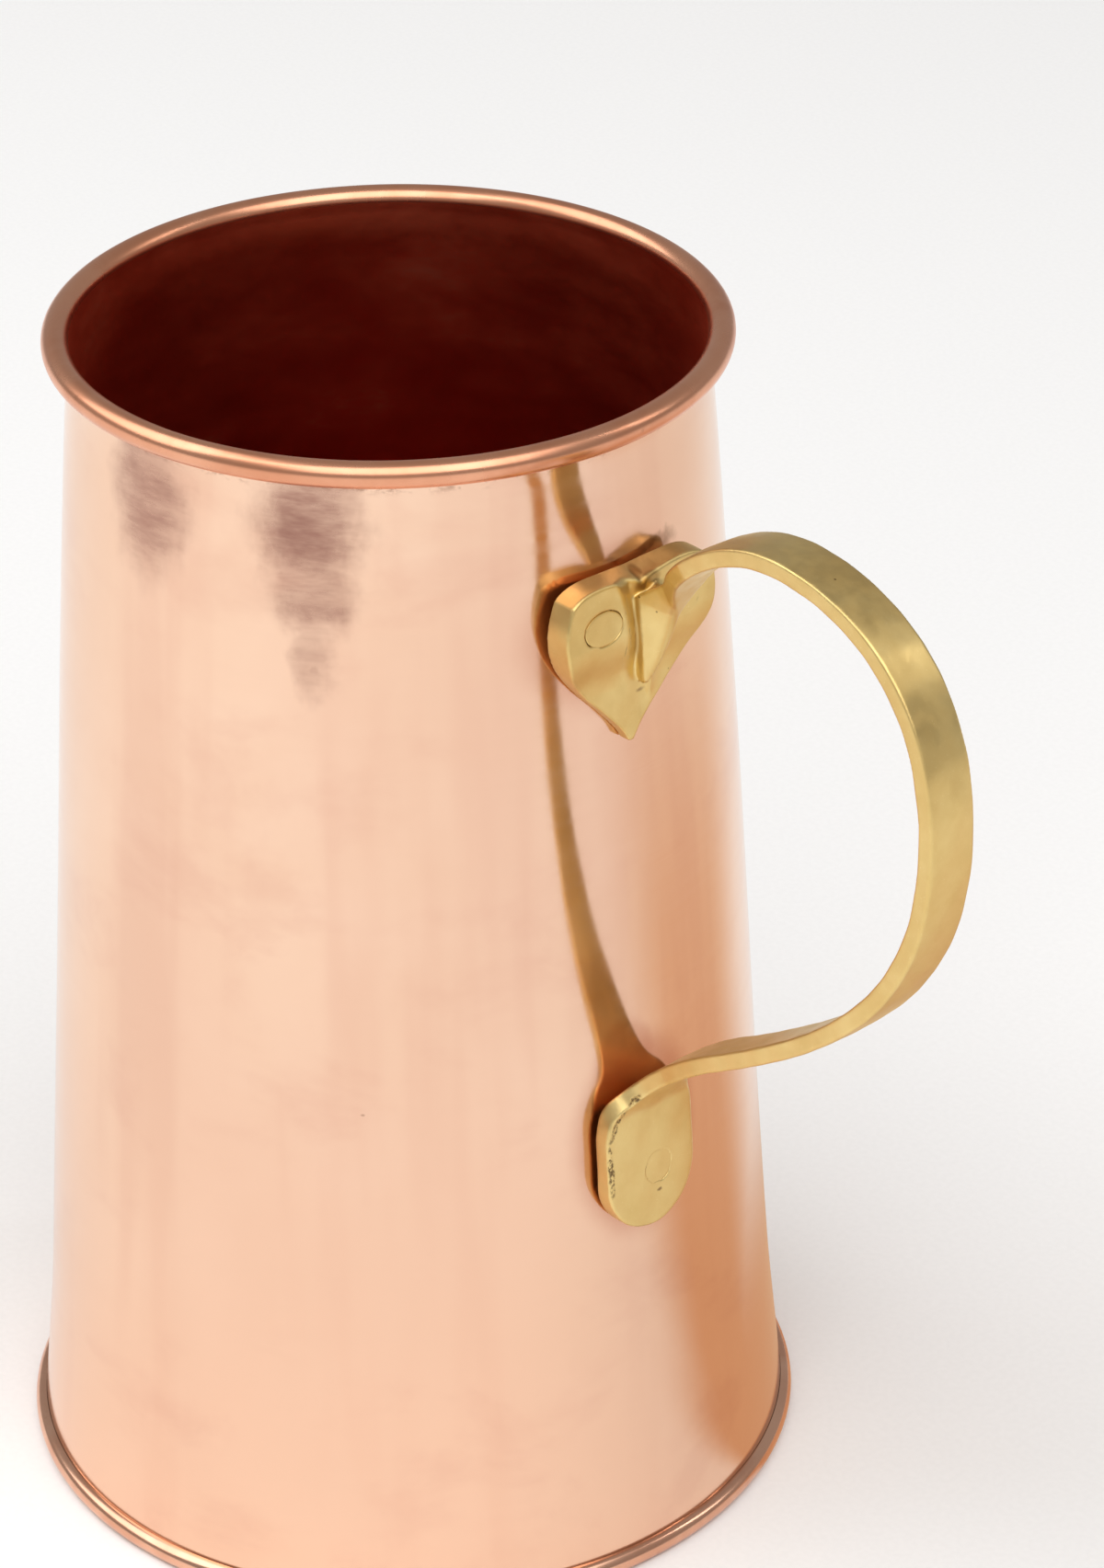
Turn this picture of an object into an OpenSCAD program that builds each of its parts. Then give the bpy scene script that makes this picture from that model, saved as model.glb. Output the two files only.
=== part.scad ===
// Copper water jug with a cast brass handle.
// A tapering sheet copper wall is rolled over a wire at the rim and seamed into
// the folded edge of the base plate at the foot. The handle is one casting: a
// heart leaf at the top, a curved strap, and a round-ended pad at the bottom.
// Three rivets, filed flush outside and domed inside, hold it on.
// Millimetres, +Z up, handle towards +X. The origin is the centre of the ring
// that the jug stands on.

/* [Body] */
// Height from the table to the top of the rim
jug_h = 200; // [190:1:210]
// Outer radius of the wall's curve at the table
wall_r_foot = 62.2; // [61:0.1:64]
// Radius that steers the wall's curve a third of the way up
wall_r_third = 57.1; // [56:0.1:58]
// Radius that steers the wall's curve two thirds of the way up
wall_r_two_thirds = 54.8; // [54:0.1:56]
// Outer radius of the wall's curve at the rim
wall_r_rim = 49.1; // [48.6:0.1:50]
// Thickness of the copper sheet
sheet_t = 0.8; // [0.6:0.1:0.8]
// Radius of the wire inside the rim
rim_wire_r = 1.25; // [1:0.05:1.5]

/* [Foot] */
// Outer radius of the rolled edge round the foot
edge_r = 1.8; // [1.7:0.05:2]
// How much wider the wall flares where it enters the foot
foot_flare = 0.65; // [0.4:0.05:0.8]
// Height over which the flare grows
foot_flare_h = 32; // [20:1:50]
// Height of the base plate's raised panel, underneath
panel_lift = 2.4; // [2.2:0.1:3]
// Width of the flat ring that the jug stands on
stand_w = 2.1; // [1.8:0.1:3]

/* [Handle] */
// Width of the strap
strap_w = 8.8; // [8:0.1:10]
// Thickness of the strap
strap_t = 3; // [2.6:0.1:3.4]
// Distance from the jug's axis to the strap's middle at its furthest
handle_reach = 120.5; // [115:0.5:126]
// Height of the furthest point of the strap
handle_reach_z = 157; // [152:0.5:160]
// Height of the strap's middle at the crown of the handle
crown_z = 190.9; // [188:0.1:193]
// Clearance between the flat backs of the casting and the wall
seat_gap = 0.15; // [0.1:0.05:0.3]

/* [Heart leaf] */
// Width of the leaf across its lobes
leaf_w = 29.7; // [28:0.1:31]
// Height of the leaf from its tip to the top of its lobes
leaf_h = 28.5; // [27:0.1:30]
// Height of the leaf's tip
leaf_tip_z = 148.2; // [147:0.1:150]
// Thickness of the leaf across its lobes
leaf_t = 5; // [4.4:0.1:5.6]
// Thickness of the leaf at its tip
leaf_tip_t = 2.4; // [2:0.1:3]
// How far the leaf sits to the right of the handle's mid-plane
leaf_shift = 0.7; // [-1:0.1:1]
// How far the leaf's tip leans to the left of its lobes
leaf_lean = 1.4; // [-2:0.1:2]
// Depth of the notch between the lobes, at the leaf's front
notch_depth = 2.7; // [2:0.1:4]

/* [Lower pad] */
// Half the width of the pad, and the radius of its round end
pad_r = 9.4; // [9:0.1:10]
// Height of the pad's lowest point
pad_z = 63.4; // [62:0.1:65]
// Thickness of the pad
pad_t = 3.2; // [3:0.1:3.6]
// How far the pad sits to the right of the handle's mid-plane
pad_shift = -0.9; // [-1:0.1:1]

/* [Rivets] */
// Radius of a rivet's shank
rivet_r = 3.15; // [2.8:0.05:3.2]
// Radial clearance of a shank in its holes
rivet_gap = 0.05; // [0.02:0.01:0.1]
// Radius of a rivet's domed head inside the jug
rivet_head_r = 4.6; // [4.4:0.1:5]
// Height of the domed head
rivet_head_h = 2.2; // [1.8:0.1:2.6]
// Half the distance between the two upper rivets
rivet_spread = 8.1; // [7.6:0.1:8.4]
// Height of the two upper rivets
rivet_upper_z = 169.6; // [168:0.1:170]
// Height of the lower rivet
rivet_lower_z = 73.4; // [72:0.1:76]
// Outer radius of a washer
washer_r = 5.6; // [5.2:0.1:6]
// Thickness of a washer
washer_t = 0.8; // [0.6:0.1:1]

/* [Hidden] */
$fn = 96;
// Clearance between pieces that lie against each other
gap = 0.05;
copper = [0.86, 0.55, 0.42];
brass = [0.80, 0.67, 0.40];
solder_grey = [0.62, 0.60, 0.56];
// Rim: the roll of sheet round its wire
roll_r = rim_wire_r + gap + sheet_t;
roll_z = jug_h - roll_r;
roll_x = wall_r_rim + roll_r;
// Foot: the middle of the rolled edge, and the wall's flange held inside it
edge_z = edge_r;
edge_x = wall_r(2 * edge_r) + gap;
flange_top = edge_z + sheet_t / 2;
flange_x = edge_x + 0.8;
stand_x = edge_x - stand_w;
panel_top = panel_lift + sheet_t;
// How far in the base plate's slope runs, from its flat ring up to its panel
panel_slope = 1.6;
// Height of one step of the wall's curve
wall_step = 8;
// Lengths that reach past the pieces they cut
far = 40;
side_depth = 60;
// Height where the pad turns into the arm
strap_join_z = pad_z + 21;
leaf_half = leaf_w / 2;
leaf_top_z = leaf_tip_z + leaf_h;
// Height over which the leaf leans, and half the width of its notch
lean_h = 0.88 * leaf_h;
notch_half = 9;
// The leaf is thin below the first height and full above the second
thin_z = leaf_tip_z + 0.34 * leaf_h;
full_z = rivet_upper_z;
// Length of a rivet's shank before it is filed flush
rivet_len = 14;

// Point on a cubic curve with four control points
function bezier(p, t) = pow(1 - t, 3) * p[0] + 3 * pow(1 - t, 2) * t * p[1]
                      + 3 * (1 - t) * t * t * p[2] + pow(t, 3) * p[3];

// Direction of the same curve, as a unit vector
function bezier_dir(p, t) =
    let (d = pow(1 - t, 2) * (p[1] - p[0]) + 2 * (1 - t) * t * (p[2] - p[1])
           + t * t * (p[3] - p[2]))
    d / norm(d);

// A cubic curve as a list of points, moved sideways by off, to its right
function curve(p, steps, off = 0) =
    [for (i = [0 : steps]) let (t = i / steps, d = bezier_dir(p, t))
        bezier(p, t) + off * [d[1], -d[0]]];

function without_last(list) = [for (i = [0 : len(list) - 2]) list[i]];
function reversed(list) = [for (i = [len(list) - 1 : -1 : 0]) list[i]];

// Extra radius where the wall flares into the foot
function flare(z) = z < foot_flare_h
    ? foot_flare * (1 + cos(180 * z / foot_flare_h)) / 2 : 0;

// Outer radius of the wall at height z
function wall_r(z) = flare(z) + bezier(
    [wall_r_foot, wall_r_third, wall_r_two_thirds, wall_r_rim], z / jug_h);

// Backward tilt of the wall, in degrees, between two heights
function wall_tilt(z0, z1) = atan((wall_r(z0) - wall_r(z1)) / (z1 - z0));

// A flat back that clears the wall between two heights: its X at height z
function seat_x(z, z0, z1) = seat_gap + wall_r(z0)
    + (wall_r(z1) - wall_r(z0)) * (z - z0) / (z1 - z0);

function leaf_back(z) = seat_x(z, leaf_tip_z, leaf_top_z);
function pad_back(z) = seat_x(z, pad_z, strap_join_z);

// The leaf's front line, seen from the side as [X, Z], from its tip upwards
function leaf_face(low, high) = concat(
    [[leaf_back(low) + leaf_tip_t, low]],
    curve([[leaf_back(thin_z) + leaf_tip_t, thin_z],
           [leaf_back(thin_z) + leaf_tip_t, thin_z + 5],
           [leaf_back(full_z) + leaf_t, full_z - 5],
           [leaf_back(full_z) + leaf_t, full_z]], 8),
    [[leaf_back(high) + leaf_t, high]]);

// The strap's middle line, seen from the side as [X, Z], from the pad upwards
pad_end = [pad_back(strap_join_z) + pad_t / 2, strap_join_z];
arm = pad_end + [18, 17];
belly = [handle_reach, handle_reach_z];
crown = [88.3, crown_z];
leaf_join = [60.9, 170];
stem_end = [56, 156.5];
arm_curve = [pad_end, pad_end + [0, 4.6], arm - [7.4, 4.1], arm];
belly_curve = [arm, arm + [23.2, 13.2], belly - [0, 28.2], belly];
crown_curve = [belly, belly + [0, 28.9], crown + [10.5, 0], crown];
drop_curve = [crown, crown - [11.8, 0], leaf_join + [3.1, 11.5], leaf_join];
stem_curve = [leaf_join, leaf_join - [0.9, 3.5], stem_end + [2.9, 5], stem_end];
// Where the drop curve stops being the full-width strap and becomes the stem
stem_split = 0.52;

// Extrudes an outline drawn as [X, Z] along Y, to a total width
module side_extrude(width) {
    rotate([90, 0, 0])
        linear_extrude(height = width, center = true)
            children();
}

// Extrudes an outline drawn as [Y, Z] along X, from x on
module front_extrude(x, depth) {
    translate([x, 0, 0])
        rotate([90, 0, 90])
            linear_extrude(height = depth)
                children();
}

// A rivet's place: its axis leaves the wall squarely
module at_rivet(angle, z) {
    rotate([0, 0, angle])
        translate([wall_r(z), 0, z])
            rotate([0, 90 - wall_tilt(z - 5, z + 5), 0])
                children();
}

upper_angle = asin(rivet_spread / (wall_r(rivet_upper_z) + leaf_t));
left_angle = asin(leaf_shift / wall_r(rivet_upper_z)) - upper_angle;
right_angle = asin(leaf_shift / wall_r(rivet_upper_z)) + upper_angle;

module at_upper_left() { at_rivet(left_angle, rivet_upper_z) children(); }
module at_upper_right() { at_rivet(right_angle, rivet_upper_z) children(); }
module at_lower() { at_rivet(0, rivet_lower_z) children(); }

// The holes that the three rivets pass through
module rivet_holes() {
    at_upper_left() cylinder(r = rivet_r + rivet_gap, h = rivet_len, center = true);
    at_upper_right() cylinder(r = rivet_r + rivet_gap, h = rivet_len, center = true);
    at_lower() cylinder(r = rivet_r + rivet_gap, h = rivet_len, center = true);
}

// Copper wall: one sheet, rolled outward over the rim wire and turned out
// below into the flange that the base plate grips
module wall() {
    heights = [for (z = [2 * edge_r + wall_step : wall_step : roll_z - roll_r]) z];
    // The sheet's raw edge: its X, and a height well under the roll
    lip_x = roll_x - sheet_t / 2;
    under = roll_z - 2 * roll_r;
    outer = concat([[edge_x - gap, flange_top]], [[wall_r(2 * edge_r), 2 * edge_r]],
                   [for (z = heights) [wall_r(z), z]],
                   [[roll_x - rim_wire_r - gap, roll_z]]);
    inner = [for (p = outer) [p[0] - sheet_t, p[1]]];
    color(copper)
        difference() {
            union() {
                rotate_extrude()
                    polygon(concat(outer, reversed(inner)));
                // Flange
                rotate_extrude()
                    translate([edge_x - gap - sheet_t, flange_top - sheet_t])
                        square([flange_x - edge_x + gap + sheet_t, sheet_t]);
                // Roll round the wire
                rotate_extrude()
                    translate([roll_x, roll_z])
                        circle(r = roll_r);
            }
            rotate_extrude()
                translate([roll_x, roll_z])
                    circle(r = rim_wire_r + gap);
            // The raw edge of the sheet stops short of the wall
            rotate_extrude()
                polygon([[wall_r(under), under], [lip_x, under],
                         [lip_x, roll_z - rim_wire_r / 2],
                         [roll_x - rim_wire_r, roll_z - rim_wire_r / 2]]);
            rivet_holes();
        }
}

// Copper-coated wire that stiffens the rim
module rim_wire() {
    color(copper)
        rotate_extrude()
            translate([roll_x, roll_z])
                circle(r = rim_wire_r);
}

// Base plate: a raised panel, the flat ring that the jug stands on, and the
// edge folded up, round and down onto the wall's flange
module base_plate() {
    panel_r = stand_x - panel_slope;
    color(copper) {
        rotate_extrude()
            polygon([[0, panel_lift], [panel_r, panel_lift], [stand_x, 0],
                     [edge_x, 0], [edge_x, sheet_t], [stand_x + sheet_t / 2, sheet_t],
                     [panel_r + sheet_t / 2, panel_top], [0, panel_top]]);
        difference() {
            rotate_extrude()
                translate([edge_x, edge_z])
                    circle(r = edge_r);
            rotate_extrude()
                translate([edge_x, edge_z])
                    circle(r = edge_r - sheet_t);
            // The fold is open on its inner side, where the wall comes in
            rotate_extrude()
                translate([edge_x - 2 * edge_r, -1])
                    square([2 * edge_r, 2 * edge_r + 2]);
        }
    }
}

// Ring of soft solder that fills the groove inside the foot and seals the seam
module seam_solder() {
    fillet = 0.8;
    bottom = sheet_t + gap;
    top = panel_top + fillet;
    slope_x = stand_x + sheet_t / 2 + 2 * gap;
    // How far the solder's edge stops short of the panel
    lip = 0.35;
    under_flange = flange_top - sheet_t - gap;
    wall_x = wall_r(top) - sheet_t - gap;
    color(solder_grey)
        rotate_extrude()
            polygon([[slope_x, bottom], [edge_x, bottom], [edge_x, under_flange],
                     [wall_x, under_flange], [wall_x, top], [wall_x - fillet, panel_top],
                     [slope_x - panel_slope + lip, panel_top - lip]]);
}

// The last of the drop curve or the first of it, moved sideways by off
function drop_part(t0, t1, steps, off) =
    [for (i = [0 : steps])
        let (t = t0 + (t1 - t0) * i / steps, d = bezier_dir(drop_curve, t))
        bezier(drop_curve, t) + off * [d[1], -d[0]]];

// Outline of the strap from the side, from the arm to the stem
module strap_side() {
    half_t = strap_t / 2;
    outside = concat(without_last(curve(belly_curve, 14, half_t)),
                     without_last(curve(crown_curve, 14, half_t)),
                     drop_part(0, stem_split, 6, half_t));
    inside = concat(without_last(curve(belly_curve, 14, -half_t)),
                    without_last(curve(crown_curve, 14, -half_t)),
                    drop_part(0, stem_split, 6, -half_t));
    polygon(concat(outside, reversed(inside)));
}

// Outline of the stem from the side: the strap's end, down to the leaf's face
module stem_side() {
    half_t = strap_t / 2;
    front = concat(without_last(drop_part(stem_split, 1, 8, -half_t)),
                   curve(stem_curve, 8, -half_t));
    polygon(concat(front, [[leaf_back(stem_end[1]) + 1, stem_end[1]],
                           [leaf_back(leaf_join[1]) + 1, leaf_join[1]]],
                   reversed(drop_part(stem_split, 1, 8, half_t))));
}

// Outline of the stem from the front: the strap's full width above, narrowing
// to a blunt point that ends right of the leaf's middle
module stem_front() {
    half_w = strap_w / 2;
    top = leaf_join[1] + 13.5;
    foot = stem_end[1] + 0.5;
    left = [[-half_w, top], [-0.6, top - 7.5], [-0.6, foot + 9], [1.2, foot]];
    right = [[half_w, top], [4.2, top - 10.5], [2.8, foot + 10], [2.2, foot]];
    polygon(concat(curve(left, 8), reversed(curve(right, 8)),
                   [[half_w, crown_z], [-half_w, crown_z]]));
}

// A point of the leaf's outline, moved by its shift and its lean
function leaned(p) = [p[0] + leaf_shift
    - leaf_lean * max(0, 1 - (p[1] - leaf_tip_z) / lean_h), p[1]];

// Outline of the heart leaf from the front, with a flat top at the wall
module leaf_front() {
    half = leaf_half;
    side = [[0.04 * half, leaf_tip_z], [0.32 * half, leaf_tip_z + 0.28 * leaf_h],
            [1.32 * half, leaf_tip_z + 0.5 * leaf_h], [0.93 * half, leaf_tip_z + 0.94 * leaf_h]];
    lobe = [side[3], [0.87 * half, leaf_tip_z + 0.98 * leaf_h],
            [0.75 * half, leaf_top_z], [notch_half, leaf_top_z]];
    right = concat(without_last(curve(side, 12)), curve(lobe, 6));
    left = [for (p = right) [-p[0], p[1]]];
    polygon([for (p = concat(right, reversed(left))) leaned(p)]);
}

// The notch between the lobes: deepest at the front, running out at the back
module leaf_notch() {
    translate([leaf_back(leaf_top_z), leaf_shift, leaf_top_z])
        rotate([0, atan(notch_depth / leaf_t), 0])
            front_extrude(0, far)
                polygon([[0, 0], [notch_half, notch_depth], [notch_half, far],
                         [-notch_half, far], [-notch_half, notch_depth]]);
}

// Outline of the heart leaf from the side: thin at the tip, thick at the lobes
module leaf_side() {
    low = leaf_tip_z - 1;
    high = leaf_top_z + 1;
    polygon(concat([[leaf_back(high), high], [leaf_back(low), low]], leaf_face(low, high)));
}

// Outline of the lower pad and the arm above it, from the front: a round end, a
// shouldered neck, and the width of the strap
module pad_front() {
    half_w = strap_w / 2;
    neck = 0.6;
    end_z = pad_z + pad_r;
    shoulder_z = pad_z + 22.6;
    neck_z = pad_z + 25.1;
    strap_z = pad_z + 30.6;
    top_z = arm[1] + 10;
    right = [[pad_r + pad_shift, end_z + 4], [pad_r + pad_shift, shoulder_z],
             [half_w + neck, neck_z], [half_w, strap_z]];
    left = [[-pad_r + pad_shift, end_z + 4], [-pad_r + pad_shift, shoulder_z],
            [-half_w - neck, neck_z], [-half_w, strap_z]];
    translate([pad_shift, end_z])
        circle(r = pad_r);
    polygon(concat([[-pad_r + pad_shift, end_z], [pad_r + pad_shift, end_z]],
                   curve(right, 10), [[half_w, top_z], [-half_w, top_z]],
                   reversed(curve(left, 10))));
}

// Outline of the lower pad and the arm above it, from the side
module pad_side() {
    half_t = strap_t / 2;
    low = pad_z - 1;
    polygon(concat([[pad_back(low), low], [pad_back(low) + pad_t, low]],
                   curve(arm_curve, 12, half_t),
                   reversed(curve(arm_curve, 12, -half_t))));
}

// Brass handle casting: leaf, stem, strap and pad in one piece
module handle() {
    color(brass)
        difference() {
            union() {
                side_extrude(strap_w)
                    strap_side();
                intersection() {
                    side_extrude(far) stem_side();
                    front_extrude(leaf_back(leaf_top_z), far) stem_front();
                }
                difference() {
                    intersection() {
                        side_extrude(side_depth) leaf_side();
                        front_extrude(wall_r_rim - far / 4, far) leaf_front();
                    }
                    leaf_notch();
                }
                intersection() {
                    side_extrude(far) pad_side();
                    front_extrude(wall_r_rim, far) pad_front();
                }
            }
            rivet_holes();
        }
}

// One rivet along its own axis: the shank, and the domed head inside the jug
module rivet_blank() {
    dome_r = (rivet_head_r * rivet_head_r + rivet_head_h * rivet_head_h) / (2 * rivet_head_h);
    seat = -sheet_t - seat_of_washer() - washer_t - gap;
    translate([0, 0, seat - rivet_head_h / 2])
        cylinder(r = rivet_r, h = rivet_len);
    intersection() {
        translate([0, 0, seat - rivet_head_h + dome_r])
            sphere(r = dome_r);
        translate([0, 0, seat - rivet_head_h - 1])
            cylinder(r = rivet_head_r + 1, h = rivet_head_h + 1);
    }
}

// Room between the curved wall and the middle of a flat washer
function seat_of_washer() = gap + wall_r_rim
    - sqrt(wall_r_rim * wall_r_rim - washer_r * washer_r);

// Washer under a rivet's head, flat against the inside of the wall
module washer_blank() {
    translate([0, 0, -sheet_t - seat_of_washer() - washer_t])
        difference() {
            cylinder(r = washer_r, h = washer_t);
            translate([0, 0, -1])
                cylinder(r = rivet_r + rivet_gap, h = washer_t + 2);
        }
}

module rivet_upper_left() {
    color(brass)
        intersection() {
            at_upper_left() rivet_blank();
            side_extrude(side_depth) flush_side_upper();
        }
}

module rivet_upper_right() {
    color(brass)
        intersection() {
            at_upper_right() rivet_blank();
            side_extrude(side_depth) flush_side_upper();
        }
}

module rivet_lower() {
    color(brass)
        intersection() {
            at_lower() rivet_blank();
            side_extrude(side_depth) flush_side_lower();
        }
}

// Everything inward of the leaf's front face
module flush_side_upper() {
    low = leaf_tip_z;
    high = leaf_top_z + 10;
    polygon(concat([[leaf_back(high) - far, high], [leaf_back(low) - far, low]],
                   leaf_face(low, high)));
}

// Everything inward of the pad's front face
module flush_side_lower() {
    low = pad_z - 10;
    high = strap_join_z;
    polygon([[pad_back(low) - far, low], [pad_back(low) + pad_t, low],
             [pad_back(high) + pad_t, high], [pad_back(low) - far, high]]);
}

module washer_upper_left() {
    color(copper)
        at_upper_left() washer_blank();
}

module washer_upper_right() {
    color(copper)
        at_upper_right() washer_blank();
}

module washer_lower() {
    color(copper)
        at_lower() washer_blank();
}

wall();
rim_wire();
base_plate();
seam_solder();
handle();
rivet_upper_left();
rivet_upper_right();
rivet_lower();
washer_upper_left();
washer_upper_right();
washer_lower();
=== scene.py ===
import math

import bpy
import numpy as np
import openvdb
from mathutils import Matrix, Vector


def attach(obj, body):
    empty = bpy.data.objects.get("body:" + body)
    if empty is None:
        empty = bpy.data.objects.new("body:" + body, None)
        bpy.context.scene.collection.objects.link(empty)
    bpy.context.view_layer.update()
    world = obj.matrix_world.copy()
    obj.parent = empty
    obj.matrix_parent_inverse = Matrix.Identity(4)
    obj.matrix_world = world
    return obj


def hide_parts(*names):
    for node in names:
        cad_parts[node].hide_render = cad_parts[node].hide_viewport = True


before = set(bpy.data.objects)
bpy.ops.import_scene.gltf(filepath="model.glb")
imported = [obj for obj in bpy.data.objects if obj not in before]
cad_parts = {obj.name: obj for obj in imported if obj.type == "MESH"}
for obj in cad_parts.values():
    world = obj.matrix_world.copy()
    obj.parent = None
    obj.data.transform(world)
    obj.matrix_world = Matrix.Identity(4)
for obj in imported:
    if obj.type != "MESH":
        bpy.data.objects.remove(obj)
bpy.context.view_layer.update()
MM = 0.001


# ---------------------------------------------------------------- dimensions
# Millimetres, the CAD's own numbers.
JUG_H = 200.0
WALL_R = (62.2, 57.1, 54.8, 49.1)
SHEET = 0.8
WIRE_R = 1.25
GAP = 0.05
FLARE, FLARE_H = 0.65, 32.0
EDGE_R = 1.8
PANEL_LIFT, STAND_W, PANEL_SLOPE = 2.4, 2.1, 1.6
STRAP_W, STRAP_T = 8.8, 3.0
LEAF_HALF, LEAF_H, LEAF_TIP_Z = 14.85, 28.5, 148.2
LEAF_T, LEAF_TIP_T, LEAF_SHIFT, LEAF_SKEW = 5.0, 2.4, 0.7, 1.4
PAD_R, PAD_Z, PAD_T, PAD_SHIFT = 9.4, 63.4, 3.2, -0.9
RIVET_R, HEAD_R, HEAD_H = 3.15, 4.6, 2.2
RIVET_SPREAD, RIVET_UPPER_Z, RIVET_LOWER_Z = 8.1, 169.6, 73.4
WASHER_R, WASHER_T = 5.6, 0.8
SEAT_GAP = 0.15
# The strap's middle line passes these places, as (X, Z); the first is measured from the pad's top
ARM, BELLY, CROWN = (18.0, 17.0), (120.5, 157.0), (88.3, 190.9)
STEM_JOIN, STEM_FOOT = (60.9, 170.0), (56.0, 156.5)
CAMERA_AZIMUTH = -40.25

ROLL_R = WIRE_R + GAP + SHEET
ROLL_Z = JUG_H - ROLL_R
ROLL_X = WALL_R[3] + ROLL_R


def bezier(p, t):
    """Points at t, from 0 to 1, on the curve with four control points."""
    p = np.asarray(p, float)
    t = np.atleast_1d(np.asarray(t, float))
    w = [(1 - t) ** 3, 3 * (1 - t) ** 2 * t, 3 * (1 - t) * t * t, t**3]
    return sum(np.multiply.outer(wi, pi) for wi, pi in zip(w, p))


def smooth(a, b, x):
    """Goes smoothly from 0 to 1 while x goes from a to b."""
    t = np.clip((x - a) / (b - a), 0, 1)
    return t * t * (3 - 2 * t)


def wall_r(z):
    """Radius of the wall's outside at height z, with the flare at its foot."""
    z = np.asarray(z, float)
    r = bezier(WALL_R, z.ravel() / JUG_H).reshape(z.shape)
    return r + np.where(z < FLARE_H, FLARE * (1 + np.cos(np.pi * z / FLARE_H)) / 2, 0)


EDGE_X = float(wall_r(2 * EDGE_R)) + GAP
STAND_X = EDGE_X - STAND_W


def dents(angle, z):
    """Slow unevenness of hand-raised sheet: a radial offset shared by all the turned pieces."""
    rng = np.random.default_rng(11)
    out = np.zeros(np.broadcast(angle, z).shape)
    # Waves round the jug, waves up it, and how far they stand out
    for round_it, up_it, size in ((2, 0.9, 0.07), (3, 1.6, 0.06), (5, 2.3, 0.035),
                                  (8, 3.1, 0.02), (13, 4.3, 0.012)):
        p, q = rng.uniform(0, 2 * np.pi, 2)
        out += size * np.cos(round_it * angle + p) * np.cos(up_it * 2 * np.pi * z / JUG_H + q)
    # The foot is stiff, so it stays nearly round
    return out * np.clip(0.15 + z / 40, 0.15, 1)


# ---------------------------------------------------------------- meshes
def make(name, verts, faces, materials, corner=35, face_material=None):
    """A smooth mesh object from points in millimetres, with edges over corner degrees kept sharp."""
    me = bpy.data.meshes.new(name)
    me.from_pydata((np.asarray(verts, float) * MM).tolist(), [], faces)
    me.validate()
    for m in materials:
        me.materials.append(m)
    me.polygons.foreach_set("use_smooth", [True] * len(me.polygons))
    if face_material is not None:
        me.polygons.foreach_set("material_index", np.asarray(face_material, np.int32))
    if corner:
        me.set_sharp_from_angle(angle=math.radians(corner))
    me.update()
    ob = bpy.data.objects.new(name, me)
    bpy.context.scene.collection.objects.link(ob)
    return ob


def lathe(name, profile, segments, materials, slots=None, uneven=True, closed=True):
    """Turns a profile of [radius, z] round the Z axis. slots gives each profile edge its material."""
    profile = np.asarray(profile, float)
    ang = np.linspace(0, 2 * np.pi, segments, endpoint=False)
    rows, verts, base = [], [], 0
    for r, z in profile:
        if r < 1e-6:
            verts.append([[0, 0, z]])
            rows.append(np.full(segments, base))
            base += 1
            continue
        rr = r + (dents(ang, np.full(segments, z)) * min(1, r / 30) if uneven else 0)
        verts.append(np.column_stack([rr * np.cos(ang), rr * np.sin(ang), np.full(segments, z)]))
        rows.append(base + np.arange(segments))
        base += segments
    faces, mats = [], []
    n = len(profile)
    for i in range(n if closed else n - 1):
        a, b = rows[i], rows[(i + 1) % n]
        a1, b1 = np.roll(a, -1), np.roll(b, -1)
        if profile[i][0] < 1e-6 and profile[(i + 1) % n][0] < 1e-6:
            continue
        if profile[i][0] < 1e-6:
            quad = np.column_stack([a, b1, b])
        elif profile[(i + 1) % n][0] < 1e-6:
            quad = np.column_stack([a, a1, b])
        else:
            quad = np.column_stack([a, a1, b1, b])
        faces += quad.tolist()
        mats += [slots[i] if slots else 0] * segments
    return make(name, np.vstack(verts), faces, materials, face_material=mats)


def arc(cx, cz, r, a0, a1, n):
    """n points of [radius, z] on a circle, from a0 to a1 degrees."""
    a = np.radians(np.linspace(a0, a1, n))
    return np.column_stack([cx + r * np.cos(a), cz + r * np.sin(a)])


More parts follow.
